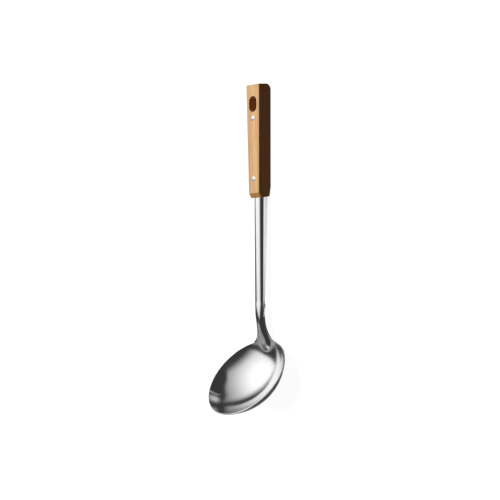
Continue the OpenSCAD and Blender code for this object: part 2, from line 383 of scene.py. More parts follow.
@dataclass
class PressedSheet:
    """Bowl, neck, arched shaft and tang: one steel sheet, drawn as one grid.

    Rows run along the ladle from the bowl's tip to the tang's end and columns across it.
    Args:
        frame: Turns millimetres into the row frame's metres.
        finish: The steel.

    The other fields are sizes in millimetres, angles in radians, powers of the curves and
    counts of rows and columns. The probe and reach_across are steps for the normals.
    """

    frame: Frame
    finish: bpy.types.Material
    sheet: float = 1.2
    bowl_width: float = 95.0
    bowl_length: float = 93.0
    bowl_depth: float = 23.6
    bowl_tilt: float = math.radians(38.25)
    neck_length: float = 37.4
    neck_span: float = 0.47
    edge_turn: float = math.radians(86)
    wall_pull_middle: float = 20.2
    wall_pull_edge: float = 41.2
    shaft_pull_middle: float = 80.0
    shaft_pull_edge: float = 36.1
    edge_lift: float = 3.15
    waist: float = 4.3
    thumb_height: float = 3.8
    thumb_half: float = 7.6
    thumb_length: float = 9.2
    thumb_straight: float = 1.0
    thumb_power: float = 1.15
    foot_round: float = 0.35
    shaft_width_neck: float = 12.2
    shaft_width_end: float = 14.6
    arch_height_neck: float = 4.9
    arch_height_end: float = 8.6
    crown_neck: float = 14.0
    crown_end: float = 13.1
    arch_power: float = 2.4
    face_x: float = 218.2
    slant: float = 1.5 / (13.8 - 1.75)
    face_top: float = 13.8
    joggle_length: float = 12.0
    tang_level: float = 9.0
    tang_end: float = 304.0
    turn_power: float = 1.5
    foot_power: float = 1.5
    edge_round: float = 0.3
    edge_power: float = 2.6
    edge_share: float = 0.8
    bowl_rows: int = 120
    neck_rows: int = 84
    reach_across: float = 0.012
    shaft_rows: int = 28
    joggle_rows: int = 12
    tang_rows: int = 2
    side_columns: int = 36
    middle_columns: int = 96
    edge_steps: int = 8
    probe: float = 0.002

    def __post_init__(self) -> None:
        """Works out the bowl's radii, its place and the rows where one form ends."""
        outer = ((self.bowl_width / 2) ** 2 + self.bowl_depth**2) / (2 * self.bowl_depth)
        self.inner_radius = outer - self.sheet
        self.wall_angle = math.asin(self.bowl_width / 2 / outer)
        lean = self.sheet * math.sin(self.wall_angle)
        stand = self.sheet * math.cos(self.wall_angle)
        self.half_across = self.bowl_width / 2 - lean
        self.half_along = self.bowl_length / 2 - lean
        tilt = self.bowl_tilt
        self.toward_tip = np.array([-math.cos(tilt), 0.0, math.sin(tilt)])
        self.opening = np.array([math.sin(tilt), 0.0, math.cos(tilt)])
        self.across = np.array([0.0, 1.0, 0.0])
        self.rim_x = self.bowl_length / 2 * math.cos(tilt) + stand * math.sin(tilt)
        self.rim_back_x = self.rim_x + self.half_along * math.cos(tilt)
        self.neck_end = self.rim_back_x + self.neck_length
        self.rest_drop = 0.0
        a = np.linspace(-1.0, 0.0, 2001)
        outside = self.cap(a, 0 * a) + self.sheet * self.back_of(self.cap, a, 0 * a)
        self.rest_drop = -float(outside[..., 2].min())
        self.leg_neck = self.crown_neck - self.arch_height_neck
        leg_end = self.crown_end - self.arch_height_end
        self.leg_slope = (leg_end - self.leg_neck) / (self.face_x - self.neck_end)
        self.rim_row = self.bowl_rows
        self.shaft_row = self.rim_row + self.neck_rows
        self.face_row = self.shaft_row + self.shaft_rows
        self.flat_row = self.face_row + self.joggle_rows
        self.last_row = self.flat_row + self.tang_rows
        self.last_column = 2 * self.side_columns + self.middle_columns
        self.tang_first = self.side_columns + self.middle_columns // 3
        self.tang_span = self.neck_span / 3

    def cap(self, a: np.ndarray, b: np.ndarray) -> np.ndarray:
        """A point of the bowl's inside: a cap of a sphere, drawn a little shorter along.

        Args:
            a: Place along the rim's plane, -1 at the back and 1 at the tip.
            b: Place across, -1 to 1.

        Returns:
            Points in millimetres.
        """
        r2 = a * a + b * b
        level = self.inner_radius * math.cos(self.wall_angle)
        drop = np.sqrt(self.inner_radius**2 - self.half_across**2 * r2) - level
        centre = np.array([self.rim_x, 0.0, self.rest_drop])
        return (
            centre
            + (self.half_along * a)[..., None] * self.toward_tip
            + (self.half_across * b)[..., None] * self.across
            - drop[..., None] * self.opening
        )

    def swell(self, reach: np.ndarray, power: float | np.ndarray, foot: float | np.ndarray) -> np.ndarray:
        """The rib's cross shape: (1 - reach^n)^power, fading softly into the sheet at its foot.

        The bracket u is taken as (u + sqrt(u^2 + foot^2)) / (1 + sqrt(1 + foot^2)). It is one
        in the rib's middle, and the corner at the foot becomes a small round.
        Args:
            reach: Distance from the rib's middle, 1 at its foot.
            power: Fullness of the shape.
            foot: Softness of the foot; 0 is a sharp corner.

        Returns:
            Share of the rib's height.
        """
        bracket = 1 - reach**self.arch_power
        soft = (bracket + np.sqrt(bracket**2 + foot**2)) / (1 + np.sqrt(1 + foot**2))
        return np.maximum(soft, 0.0) ** power

    def bowl(self, a: np.ndarray, b: np.ndarray) -> np.ndarray:
        """The bowl's inside with the thumb: the rib's rounded end raised inside the rim.

        Args:
            a: Place along the rim's plane.
            b: Place across it.

        Returns:
            Points in millimetres, lifted by the thumb's height times its swell.
        """
        p = self.cap(a, b)
        inside = np.maximum(self.rim_back_x - p[..., 0] - self.thumb_straight, 0) / self.thumb_length
        reach = np.hypot(p[..., 1] / self.thumb_half, inside)
        p[..., 2] += self.thumb_height * self.swell(reach, self.thumb_power, self.foot_round)
        return p

    def back_of(
        self,
        surface: Callable[[np.ndarray, np.ndarray], np.ndarray],
        a: np.ndarray,
        b: np.ndarray,
    ) -> np.ndarray:
        """Unit direction from the inside to the outside: the cross product of two small steps.

        Args:
            surface: Gives the points of a surface.
            a: First coordinate on it.
            b: Second coordinate on it.

        Returns:
            Unit vectors.
        """
        s = self.probe
        along = surface(a + s, b) - surface(a - s, b)
        return unit(np.cross(along, surface(a, b + s) - surface(a, b - s)))

    def arch_side(self, v: np.ndarray) -> np.ndarray:
        """How far out on the arch a column stands: sin^(2/n), -1 and 1 at the legs."""
        turn = np.pi / 2 * v / self.neck_span
        return np.sign(v) * np.abs(np.sin(turn)) ** (2 / self.arch_power)

    def shaft(self, x: np.ndarray, v: np.ndarray) -> np.ndarray:
        """Half a rounded arch: y = w/2 sin^(2/n), z = legs + h cos^(2/n), slanted at its end.

        Args:
            x: Place along the ladle, in millimetres, before the slant.
            v: Place across, within the neck's span.

        Returns:
            Points in millimetres.
        """
        k = (x - self.neck_end) / (self.face_x - self.neck_end)
        up = np.maximum(np.cos(np.pi / 2 * v / self.neck_span), 0.0) ** (2 / self.arch_power)
        rise = blend(self.arch_height_neck, self.arch_height_end, k)
        z = blend(self.crown_neck, self.crown_end, k) - rise + rise * up
        y = blend(self.shaft_width_neck, self.shaft_width_end, k) / 2 * self.arch_side(v)
        return np.stack([x + k * self.slant * (self.face_top - z), y, z], -1)

    def neck(self, t: np.ndarray, v: np.ndarray) -> np.ndarray:
        """One smooth curve per column from the rim into the shaft, with the rib raised on it.

        Each curve is a cubic with set ends and end directions: it leaves along the bowl's
        wall, turned along the rim toward the edges, and arrives along the shaft.
        Args:
            t: Place along the neck, 0 at the rim and 1 at the shaft.
            v: Place across, within the neck's span.

        Returns:
            Points in millimetres.
        """
        a = -np.sqrt(1 - v * v / 2)
        b = v * math.sqrt(0.5)
        edge = np.abs(v) / self.neck_span
        radial = a[..., None] * self.toward_tip + b[..., None] * self.across
        tangent = b[..., None] * self.toward_tip - a[..., None] * self.across
        wall = radial * math.cos(self.wall_angle) + self.opening * math.sin(self.wall_angle)
        turn = (self.edge_turn * edge**self.turn_power)[..., None]
        pull = blend(self.wall_pull_middle, self.wall_pull_edge, edge)[..., None]
        leave = pull * (np.cos(turn) * wall - np.sign(v)[..., None] * np.sin(turn) * tangent)
        arrive = blend(self.shaft_pull_middle, self.shaft_pull_edge, edge)[..., None] * np.array(
            [1.0, 0.0, self.leg_slope]
        )
        start = self.cap(a, b)
        side = self.shaft_width_neck / 2 * self.arch_side(v)
        finish = np.stack([0 * v + self.neck_end, side, 0 * v + self.leg_neck], -1)
        s = t[..., None]
        p = (
            (2 * s**3 - 3 * s**2 + 1) * start
            + (s**3 - 2 * s**2 + s) * leave
            + (3 * s**2 - 2 * s**3) * finish
            + (s**3 - s**2) * arrive
        )
        q = ease(t)
        half = (1 - t) ** 2 * self.thumb_half + 2 * t * (1 - t) * self.waist
        half = half + t**2 * self.shaft_width_neck / 2
        rib = blend(self.thumb_height, self.arch_height_neck, q)
        power = blend(self.thumb_power, 1 / self.arch_power, q)
        lift = self.edge_lift * edge**2 * np.sin(np.pi * t)
        foot = self.foot_round * (1 - t) ** self.foot_power
        p[..., 2] += rib * self.swell(np.abs(p[..., 1]) / half, power, foot) + lift
        return p

    def tang(self, row: np.ndarray, v: np.ndarray) -> np.ndarray:
        """The arch's middle strip, stepped down to a flat inside the wood.

        Args:
            row: Row numbers from the wood's face on.
            v: Places across, within the tang's span.

        Returns:
            Points in millimetres.
        """
        step = np.clip((row - self.face_row) / self.joggle_rows, 0, 1)
        run = np.clip((row - self.flat_row) / self.tang_rows, 0, 1)
        start = self.shaft(np.full_like(v, self.face_x), v)
        x = blend(blend(start[..., 0], self.face_x + self.joggle_length, step), self.tang_end, run)
        return np.stack([x, start[..., 1], blend(start[..., 2], self.tang_level, ease(step))], -1)

    def disc(self, row: np.ndarray, v: np.ndarray) -> tuple[np.ndarray, np.ndarray]:
        """Lays the bowl's square grid on a disc: a = u sqrt(1 - v^2 / 2), and b likewise."""
        u = 1 - 2 * np.clip(row, 0, self.rim_row) / self.bowl_rows
        return u * np.sqrt(1 - v * v / 2), v * np.sqrt(1 - u * u / 2)

    def front(self, row: np.ndarray, v: np.ndarray) -> np.ndarray:
        """The sheet's upper side at whole or part rows, form by form.

        Args:
            row: Row numbers, which may lie between rows.
            v: Places across the sheet, -1 to 1.

        Returns:
            Points in millimetres.
        """
        held = np.clip(v, -self.neck_span, self.neck_span)
        thin = np.clip(v, -self.tang_span, self.tang_span)
        t = np.clip((row - self.rim_row) / self.neck_rows, 0, 1)
        x = blend(self.neck_end, self.face_x, np.clip((row - self.shaft_row) / self.shaft_rows, 0, 1))
        p = self.bowl(*self.disc(row, v))
        p = np.where((row > self.rim_row)[..., None], self.neck(t, held), p)
        p = np.where((row > self.shaft_row)[..., None], self.shaft(x, held), p)
        return np.where((row > self.face_row)[..., None], self.tang(row, thin), p)

    def back(self, row: np.ndarray, v: np.ndarray) -> np.ndarray:
        """Unit direction from the sheet's upper side to its under side.

        It is the cross product of small steps along and across that stay within one form.
        Args:
            row: Row numbers.
            v: Places across the sheet, -1 to 1.

        Returns:
            Unit vectors.
        """
        s = self.probe
        bowl = self.back_of(self.bowl, *self.disc(row, v))
        span = np.where(row > self.face_row, self.tang_span, self.neck_span)
        form = (row > self.shaft_row).astype(int) + (row > self.face_row)
        low = np.array([self.rim_row, self.shaft_row, self.face_row])[form] + s
        high = np.array([self.shaft_row, self.face_row, self.last_row])[form]
        held = np.clip(v, -span, span)
        ahead = self.front(np.clip(row + s, low, high), held)
        along = ahead - self.front(np.clip(row - s, low, high), held)
        wide = np.where(row <= self.shaft_row, self.reach_across, s)
        row_in = np.maximum(row, low)
        right = self.front(row_in, np.minimum(held + wide, span))
        over = right - self.front(row_in, np.maximum(held - wide, -span))
        return np.where((row <= self.rim_row)[..., None], bowl, unit(np.cross(over, along)))

    def columns(self) -> np.ndarray:
        """Places of the columns across: even in the middle, even again outside it.

        Returns:
            The places, from -1 to 1.
        """
        side = np.linspace(-1, -self.neck_span, self.side_columns + 1)
        middle = np.linspace(-self.neck_span, self.neck_span, self.middle_columns + 1)
        return np.concatenate([side[:-1], middle, -side[::-1][1:]])

    def outline(self) -> tuple[np.ndarray, np.ndarray]:
        """The sheet's edge as one closed run of grid places.

        Returns:
            Row and column of each place, in order round the sheet.
        """
        j_low, j_high = self.side_columns, self.side_columns + self.middle_columns
        t_low, t_high = self.tang_first, self.tang_first + self.middle_columns // 3
        corners = [
            (0, 0),
            (0, self.last_column),
            (self.rim_row, self.last_column),
            (self.rim_row, j_high),
            (self.face_row, j_high),
            (self.face_row, t_high),
            (self.last_row, t_high),
            (self.last_row, t_low),
            (self.face_row, t_low),
            (self.face_row, j_low),
            (self.rim_row, j_low),
            (self.rim_row, 0),
            (0, 0),
        ]
        legs = [
            np.linspace(a, b, max(abs(a[0] - b[0]), abs(a[1] - b[1])) + 1)[:-1]
            for a, b in zip(corners[:-1], corners[1:])
        ]
        k, j = np.rint(np.concatenate(legs)).astype(int).T
        return k, j

    def build(self) -> bpy.types.Object:
        """Builds the sheet: two skins a sheet apart, joined by a rounded edge all round.

        Returns:
            The finished piece, which stands for the CAD node ladle_body.
        """
        v = self.columns()
        rows = np.arange(self.last_row + 1, dtype=float)
        kk, vv = np.meshgrid(rows, v, indexing="ij")
        top = self.front(kk, vv)
        down = self.back(kk, vv)
        low = top + self.sheet * down

        k, j = self.outline()
        mid = (top[k, j] + low[k, j]) / 2
        depth = down[k, j]
        run = unit(np.roll(mid, -1, 0) - np.roll(mid, 1, 0))
        out = unit(np.cross(run, depth))

        # The edge's round stays smaller than the step to the next place inside
        inner = top[k + np.roll(j, -1) - j, j - np.roll(k, -1) + k]
        step = np.linalg.norm(inner - top[k, j], axis=-1, keepdims=True)
        rounding = np.minimum(self.edge_round, self.edge_share * step)
        top[k, j] -= rounding * out
        low[k, j] -= rounding * out

        # The edge: a squared half round from the upper skin to the under one
        turn = np.linspace(0, np.pi, self.edge_steps + 1)[1:-1, None, None]
        c, s = np.cos(turn), np.sin(turn)
        power = 2 / self.edge_power
        half = self.sheet / 2
        rise = -half * np.sign(c) * np.abs(c) ** power
        proud = rounding * (np.abs(s) ** power - 1)
        band = mid + rise * depth + proud * out
        slope = self.edge_power - 1
        facing = unit(
            -np.sign(c) * (np.abs(c) ** power) ** slope / half * depth
            + (np.abs(s) ** power) ** slope / rounding * out
        )

        count = top.shape[0] * top.shape[1]
        ids = np.arange(count).reshape(top.shape[:2])
        cell_k, cell_j = np.meshgrid(
            np.arange(self.last_row), np.arange(self.last_column), indexing="ij"
        )
        j_low, j_high = self.side_columns, self.side_columns + self.middle_columns
        t_low, t_high = self.tang_first, self.tang_first + self.middle_columns // 3
        full = cell_k < self.rim_row
        arch = (cell_k < self.face_row) & (cell_j >= j_low) & (cell_j < j_high)
        strip = (cell_j >= t_low) & (cell_j < t_high)
        filled = full | arch | strip
        a, b = cell_k[filled], cell_j[filled]
        upper = np.stack([ids[a, b], ids[a + 1, b], ids[a + 1, b + 1], ids[a, b + 1]], 1)
        under = upper[:, ::-1] + count
        ring = ids[k, j]
        rings = np.concatenate(
            [
                ring[None],
                2 * count + np.arange(len(band) * len(ring)).reshape(len(band), len(ring)),
                ring[None] + count,
            ]
        )

        points = np.concatenate([top.reshape(-1, 3), low.reshape(-1, 3), band.reshape(-1, 3)])
        points[:, 0] = np.maximum(points[:, 0], 0.0)
        normals = np.concatenate([-down.reshape(-1, 3), down.reshape(-1, 3), facing.reshape(-1, 3)])
        quads = np.concatenate([upper, under, tube(rings)])
        used, fresh = np.unique(quads, return_inverse=True)
        obj = make_mesh(
            "steel_sheet",
            self.frame.place(points[used]),
            [fresh.reshape(quads.shape)],
            self.finish,
            normals[used],
        )
        return stand_for(obj, Part.LADLE_BODY)


class Ring(NamedTuple):
    """One ring of the handle: x and z on its back and front, half its width, its corner."""

    back: tuple[float, float]
    front: tuple[float, float]
    half: float
    corner: float


@dataclass
class WoodHandle:
    """The wooden handle: a tapered bar with rounded long edges, a chamfer and a slot.

    Args:
        frame: Turns millimetres into the row frame's metres.
        finish: The wood.

    The other fields are sizes in millimetres, angles in radians and counts of rings and
    columns. The cap's rings are shares of the last ring's size.
    """

    frame: Frame
    finish: bpy.types.Material
    face_x: float = 218.2
    far_x: float = 335.0
    thick: float = 17.1
    width_low: float = 15.2
    width_top: float = 19.3
    face_half: float = 7.4
    face_top: float = 13.8
    chamfer_length: float = 4.7
    back_taper: float = 1.75
    back_taper_length: float = 11.8
    face_slant: float = 1.5
    edge_round: float = 0.8
    face_round: float = 0.4
    heel_round: float = 6.0
    brow_round: float = 1.0
    back_lift: float = 0.06
    end_lean: float = math.radians(6)
    crease_round: float = 0.5
    slot_x: float = 313.9
    slot_width: float = 10.3
    slot_length: float = 15.8
    slot_before: float = 14.0
    slot_after: float = 12.5
    mouth_round: float = 0.5
    chamfer_first: float = 1.2
    chamfer_last: float = 0.8
    taper_gap: float = 0.6
    taper_crease: float = 0.3
    crease_half: float = 0.4
    crease_drop: float = 0.9
    bar_breaks: tuple[float, float, float] = (1.0, 0.8, 3.0)
    rim_steps: int = 5
    chamfer_rings: int = 4
    crease_rings: int = 5
    taper_rings: int = 4
    bar_count: int = 22
    flat_columns: int = 36
    corner_steps: int = 6
    side_columns: int = 12
    slot_rows: int = 24
    slot_columns: int = 16
    slot_lead: int = 8
    mouth_steps: int = 5
    wall_rows: int = 6
    easing_rounds: int = 900
    end_steps: int = 20
    cap_rings: tuple[float, ...] = (0.97, 0.6, 0.2)

    def half_at(self, x: float) -> float:
        """Half the handle's width, growing evenly to the far end."""
        start = self.face_x + self.chamfer_length
        return blend(self.width_low, self.width_top, (x - start) / (self.far_x - start)) / 2

    def back_at(self, x: float) -> float:
        """Height of the wood's back: flat, and rising evenly along the taper to the face.

        Args:
            x: Place along the ladle, in millimetres.

        Returns:
            Height in millimetres.
        """
        start = self.face_x + self.face_slant
        end = self.face_x + self.back_taper_length
        return max(self.back_lift, self.back_taper * (end - x) / (end - start))

    def face_rings(self) -> list[Ring]:
        """The rings of the face's rounded rim, the chamfer and the crease at its top.

        The rim is a quarter round of the crease's radius c: at the angle a the ring lies
        c (1 - cos a) behind the face and c (1 - sin a) inside it.
        Returns:
            The rings, from the face on.
        """
        c = self.crease_round
        taper_start = self.face_x + self.face_slant
        chamfer_x = self.face_x + self.chamfer_length
        slope = (self.thick - self.face_top) / self.chamfer_length
        rings = []
        for a in np.linspace(0, math.pi / 2, self.rim_steps + 1):
            inset = c * (1 - math.sin(a))
            ahead = c * (1 - math.cos(a))
            rings.append(
                Ring(
                    (taper_start + ahead, self.back_taper + inset),
                    (self.face_x + ahead, self.face_top - inset + slope * ahead),
                    self.face_half - inset,
                    self.face_round,
                )
            )
        first, last = self.face_x + self.chamfer_first, chamfer_x - self.chamfer_last
        for x in np.linspace(first, last, self.chamfer_rings):
            t = (x - self.face_x) / self.chamfer_length
            low_x = max(x, taper_start + self.taper_gap + c * t)
            rings.append(
                Ring(
                    (low_x, self.back_at(low_x)),
                    (x, self.face_top + slope * (x - self.face_x)),
                    blend(self.face_half, self.width_low / 2, t),
                    blend(self.face_round, self.edge_round, t),
                )
            )
        for t in np.linspace(0, 1, self.crease_rings):
            x = chamfer_x + self.crease_half * (2 * t - 1)
            z = self.thick - slope * self.crease_half * (1 - t) ** 2 * self.crease_drop
            half = self.half_at(x) if t > 0.5 else self.width_low / 2
            rings.append(Ring((x, self.back_at(x)), (x, z), half, self.edge_round))
        return rings

    def bar_rings(self) -> list[Ring]:
        """The rings of the even bar, close together at the taper's crease and at the slot.

        Returns:
            The rings, up to the block of close ones around the slot.
        """
        taper_x = self.face_x + self.back_taper_length
        chamfer_x = self.face_x + self.chamfer_length
        low, gap, high = self.bar_breaks
        places = np.concatenate(
            [
                np.linspace(chamfer_x + low, taper_x - gap, self.taper_rings),
                taper_x + self.taper_crease * np.array([-1.0, 0.0, 1.0]),
                np.linspace(taper_x + high, self.slot_x - self.slot_before - 1, self.bar_count),
                np.linspace(
                    self.slot_x - self.slot_before,
                    self.slot_x + self.slot_after,
                    self.slot_rows + 2 * self.slot_lead,
                ),
            ]
        )
        return [
            Ring((x, self.back_at(x)), (x, self.thick), self.half_at(x), self.edge_round)
            for x in places
        ]

    def end_rings(self) -> list[Ring]:
        """The rings round the far end, from the heel on the back to the brow on the front.

        The heel and the brow are arcs of their own radii, joined by the leaning end; the
        width narrows at the brow as brow (1 - sqrt(1 - t^4)).
        Returns:
            The rings, up to the end's flat.
        """
        lean, heel_r, brow_r = self.end_lean, self.heel_round, self.brow_round
        heel = np.array([self.far_x - heel_r, heel_r + self.back_lift])
        rise = self.thick - brow_r - heel[1]
        brow_x = heel[0] + (heel_r - brow_r - rise * math.sin(lean)) / math.cos(lean)
        brow = np.array([brow_x, self.thick - brow_r])
        rings = []
        for t in np.linspace(0, 1, self.end_steps + 1):
            low = -math.pi / 2 + (math.pi / 2 + lean) * t
            high = math.pi / 2 - (math.pi / 2 - lean) * t
            back = heel + heel_r * np.array([math.cos(low), math.sin(low)])
            front = brow + brow_r * np.array([math.cos(high), math.sin(high)])
            half = self.half_at(heel[0] + heel_r * t)
            half -= brow_r * (1 - math.sqrt(max(0.0, 1 - t**4)))
            rings.append(Ring(tuple(back), tuple(front), half, self.edge_round))
        return rings

    def stations(self) -> tuple[np.ndarray, np.ndarray, np.ndarray, np.ndarray]:
        """The rings along the handle, each between a point on the back and one on the front.

        It also keeps the number of the ring where the slot's block begins.
        Returns:
            Back points, front points (x and z), half widths and corner radii.
        """
        face, bar, end = self.face_rings(), self.bar_rings(), self.end_rings()
        slot_block = self.slot_rows + 2 * self.slot_lead
        self.first_slot_row = len(face) + len(bar) - slot_block + self.slot_lead
        return tuple(np.array(column) for column in zip(*face, *bar, *end))

    def section(self) -> np.ndarray:
        """The ring's shape on a unit frame: columns across the front, round and down.

        Returns:
            For each place: side share, end share, and the corner's cosine and sine.
        """
        n, m, s = self.flat_columns, self.corner_steps, self.side_columns
        flat = np.linspace(-1, 1, n + 1)
        turn = np.linspace(0, np.pi / 2, m + 1)[1:-1]
        wall = np.linspace(1, -1, s + 1)
        rows = [np.stack([flat, np.ones(n + 1), 0 * flat, np.ones(n + 1)], 1)]
        rows.append(np.stack([np.ones(m - 1), np.ones(m - 1), np.sin(turn), np.cos(turn)], 1))
        rows.append(np.stack([np.ones(s + 1), wall, np.ones(s + 1), 0 * wall], 1))
        rows.append(np.stack([np.ones(m - 1), -np.ones(m - 1), np.cos(turn), -np.sin(turn)], 1))
        half = np.concatenate(rows)
        return np.concatenate([half, -half])

    def slot_line(self, grow: np.ndarray) -> np.ndarray:
        """The slot's outline, a run of places matched to the block of cells it takes out.

        The outline is two half circles joined by straights, walked evenly from the lower
        corner of the block; grow moves it outward along its own normals.
        Args:
            grow: How far outward, in millimetres.

        Returns:
            Points (x, y), for each value of grow and each place.
        """
        r = self.slot_width / 2
        straight = self.slot_length / 2 - r
        quarter = math.pi * r / 4
        short = np.linspace(0, 2 * quarter, self.slot_columns + 1)[:-1]
        long = np.linspace(0, 2 * quarter + 2 * straight, self.slot_rows + 1)[:-1]
        runs = [
            short - quarter,
            long + quarter,
            short + 3 * quarter + 2 * straight,
            long + 5 * quarter + 2 * straight,
        ]
        s = np.concatenate(runs)
        total = 2 * math.pi * r + 4 * straight
        s = np.mod(s, total)
        top = math.pi * r / 2
        side = top + 2 * straight
        low = side + math.pi * r
        last = low + 2 * straight
        angle = np.select(
            [s < top, s < side, s < low, s < last],
            [s / r, 0 * s + np.pi / 2, np.pi / 2 + (s - side) / r, 0 * s + 3 * np.pi / 2],
            2 * np.pi - (total - s) / r,
        )
        shift = np.select(
            [s < top, s < side, s < low, s < last],
            [straight + 0 * s, straight - (s - top), -straight + 0 * s, -straight + (s - low)],
            straight,
        )
        reach = r + np.asarray(grow)[..., None]
        return np.stack([self.slot_x + shift + reach * np.cos(angle), reach * np.sin(angle)], -1)

    def block(self) -> tuple[int, int, int, int]:
        """First and last row, then column, of the block of cells that the slot takes out."""
        j0 = (self.flat_columns - self.slot_columns) // 2
        return self.first_slot_row, self.first_slot_row + self.slot_rows, j0, j0 + self.slot_columns

    def block_rim(self) -> tuple[np.ndarray, np.ndarray]:
        """The corners round the block, in the order of the slot's outline.

        Returns:
            Row and column of each corner.
        """
        k0, k1, j0, j1 = self.block()
        corners = np.concatenate(
            [
                np.stack([np.full(self.slot_columns, k1), np.arange(j0, j1)]),
                np.stack([np.arange(k1, k0, -1), np.full(self.slot_rows, j1)]),
                np.stack([np.full(self.slot_columns, k0), np.arange(j1, j0, -1)]),
                np.stack([np.arange(k0, k1), np.full(self.slot_rows, j0)]),
            ],
            axis=1,
        )
        return corners[0], corners[1]

    def skin(self) -> np.ndarray:
        """The handle's skin: each ring laid between its points, the flats eased round the slot.

        The block's rim is held on the slot's outline, and each other place of the flat near
        it moves to the mean of its four neighbours, round after round.
        Returns:
            Points in millimetres, by ring and column.
        """
        back, front, half, corner = self.stations()
        side, end, out, over = self.section().T[:, None, :]
        rise = np.linalg.norm(front - back, axis=1)[:, None]
        up = (front - back) / rise
        corner = corner[:, None]
        y = side * (half[:, None] - corner) + out * corner
        h = rise / 2 + end * (rise / 2 - corner) + over * corner
        x = back[:, 0, None] + h * up[:, 0, None]
        z = back[:, 1, None] + h * up[:, 1, None]
        grid = np.stack([x, y, z], -1)

        k0, k1, j0, j1 = self.block()
        rim = self.block_rim()
        plane = grid[:, : self.flat_columns + 1, :2].copy()
        plane[rim] = self.slot_line(np.array([self.mouth_round]))[0]
        fixed = np.ones(plane.shape[:2], bool)
        eased = slice(k0 - self.slot_lead + 1, k1 + self.slot_lead - 1)
        fixed[eased, 1 : self.flat_columns] = False
        fixed[k0 + 1 : k1, j0 + 1 : j1] = True
        fixed[rim] = True
        for _ in range(self.easing_rounds):
            before_after = np.roll(plane, 1, 0) + np.roll(plane, -1, 0)
            left_right = np.roll(plane, 1, 1) + np.roll(plane, -1, 1)
            plane = np.where(fixed[..., None], plane, (before_after + left_right) / 4)
        grid[eased, : self.flat_columns + 1, :2] = plane[eased]
        under = grid.shape[1] // 2 + self.flat_columns - np.arange(self.flat_columns + 1)
        grid[eased, under, :2] = plane[eased]
        return grid

    def slot_wall(self) -> np.ndarray:
        """The slot's wall: a small quarter round at each mouth and a straight wall between.

        Returns:
            Points in millimetres, by level from the front down and place round the slot.
        """
        turn = np.linspace(0, np.pi / 2, self.mouth_steps + 1)[1:]
        m = self.mouth_round
        flare = m * (1 - np.sin(turn))
        grow = np.concatenate([flare, np.zeros(self.wall_rows), flare[::-1]])
        level = np.concatenate(
            [
                self.thick - m * (1 - np.cos(turn)),
                np.linspace(self.thick - m, self.back_lift + m, self.wall_rows + 2)[1:-1],
                self.back_lift + m * (1 - np.cos(turn[::-1])),
            ]
        )
        line = self.slot_line(grow)
        return np.concatenate([line, np.broadcast_to(level[:, None, None], (*line.shape[:2], 1))], -1)

    def build(self) -> bpy.types.Object:
        """Builds the handle: a closed skin with a block of cells taken out for the slot.

        Returns:
            The finished piece, which stands for the CAD node handle.
        """
        grid, wall = self.skin(), self.slot_wall()
        rows, width = grid.shape[:2]
        ids = np.arange(rows * width).reshape(rows, width)
        wall_ids = ids.size + np.arange(wall[..., 0].size).reshape(wall.shape[:2])
        count = ids.size + wall_ids.size

        # The cells of the skin, without the block on the front and the one on the back
        k0, k1, j0, j1 = self.block()
        mirror = width // 2 + self.flat_columns
        keep = np.ones((rows - 1, width), bool)
        keep[k0:k1, j0:j1] = False
        keep[k0:k1, mirror - j1 : mirror - j0] = False
        a, b = np.nonzero(keep)
        n = (b + 1) % width
        cells = np.stack([ids[a, b], ids[a, n], ids[a + 1, n], ids[a + 1, b]], 1)

        # The slot's wall, from the block's rim on the front to the one on the back
        rim_rows, rim_columns = self.block_rim()
        first, last = ids[rim_rows, rim_columns], ids[rim_rows, mirror - rim_columns]
        turned_over = [0, 3, 2, 1]
        stack = np.concatenate([first[None], wall_ids, last[None]])
        quads = [cells, tube(stack)[:, turned_over]]

        # End caps: the last rings shrunk toward their middles
        points = [grid.reshape(-1, 3), wall.reshape(-1, 3)]
        caps = []
        scale = np.array(self.cap_rings)[:, None, None]
        for row, far in ((0, False), (rows - 1, True)):
            middle = grid[row].mean(0)
            cap = middle + (grid[row] - middle) * scale
            points.append(cap.reshape(-1, 3))
            cap_ids = count + np.arange(cap.shape[0] * width).reshape(cap.shape[0], width)
            count += cap_ids.size
            full = np.concatenate([ids[row][None], cap_ids])
            faces = tube(full)[:, turned_over]
            quads.append(faces[:, ::-1] if far else faces)
            caps.append(full[-1][None] if far else full[-1][::-1][None])
        obj = make_mesh(
            "handle_wood",
            self.frame.place(np.concatenate(points)),
            [np.concatenate(quads)[:, ::-1], *(cap[:, ::-1] for cap in caps)],
            self.finish,
        )
        # Painted shade: each corner's turn from facing up, 1 - nz^2, which the wood's colour ramp darkens
        # by
        normals = np.empty(3 * len(obj.data.vertices), np.float32)
        obj.data.vertex_normals.foreach_get("vector", normals)
        paint(obj, "turned", 1.0 - normals[2::3] ** 2)
        obj.visible_glossy = False
        return stand_for(obj, Part.HANDLE)


